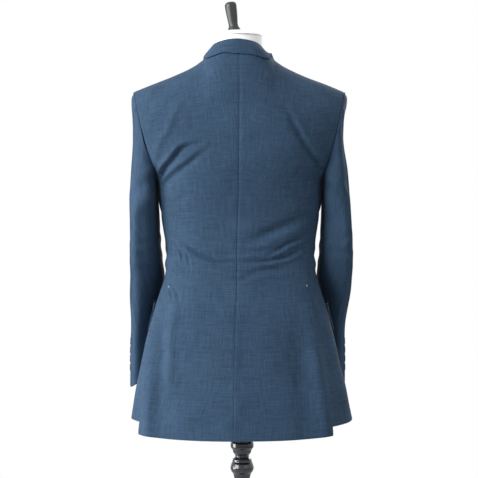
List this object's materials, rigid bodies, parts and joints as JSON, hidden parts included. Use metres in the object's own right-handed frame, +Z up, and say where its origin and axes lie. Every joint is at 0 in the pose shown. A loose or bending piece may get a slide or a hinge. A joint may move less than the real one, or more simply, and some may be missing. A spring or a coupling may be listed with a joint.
{
  "type": "three-piece suit on a limbless dress form and stand",
  "caption": "Navy worsted suit coat with lapels, side vents and hip flaps over a matching waistcoat, worn on a white limbless dress form with a turned black post and round foot.",
  "frame": {"origin": "on the floor, at the middle of the round base's flat underside", "axes": "+Z up; the wearer's front faces -Y and the wearer's left is +X"},
  "size_m": [0.4849, 0.396, 1.6161],
  "materials": {
    "navy_worsted": "fine navy blue worsted wool, pressed, matt",
    "horn_button": "dark imitation horn, polished",
    "white_form": "white jersey drawn smooth over the form",
    "black_lacquer": "turned wood in glossy black lacquer",
    "dark_finial": "turned wood stained near black, satin"
  },
  "bodies": {
    "root": {"jacket_back_left": "navy_worsted", "jacket_back_right": "navy_worsted", "jacket_side_left": "navy_worsted", "jacket_side_right": "navy_worsted", "jacket_front_left": "navy_worsted", "jacket_front_right": "navy_worsted", "jacket_lapel_left": "navy_worsted", "jacket_lapel_right": "navy_worsted", "jacket_collar": "navy_worsted", "jacket_flap_left": "navy_worsted", "jacket_flap_right": "navy_worsted", "jacket_sleeve_upper_left": "navy_worsted", "jacket_sleeve_upper_right": "navy_worsted", "jacket_sleeve_under_left": "navy_worsted", "jacket_sleeve_under_right": "navy_worsted", "jacket_button_upper": "horn_button", "jacket_button_lower": "horn_button", "sleeve_button_left_1": "horn_button", "sleeve_button_left_2": "horn_button", "sleeve_button_left_3": "horn_button", "sleeve_button_left_4": "horn_button", "sleeve_button_right_1": "horn_button", "sleeve_button_right_2": "horn_button", "sleeve_button_right_3": "horn_button", "sleeve_button_right_4": "horn_button", "waistcoat_front_left": "navy_worsted", "waistcoat_front_right": "navy_worsted", "waistcoat_back": "navy_worsted", "waistcoat_button_1": "horn_button", "waistcoat_button_2": "horn_button", "waistcoat_button_3": "horn_button", "waistcoat_button_4": "horn_button", "waistcoat_button_5": "horn_button", "form_torso": "white_form", "form_neck_cap": "white_form", "form_finial": "dark_finial", "stand_post": "black_lacquer", "stand_base": "black_lacquer"}
  },
  "joints": []
}
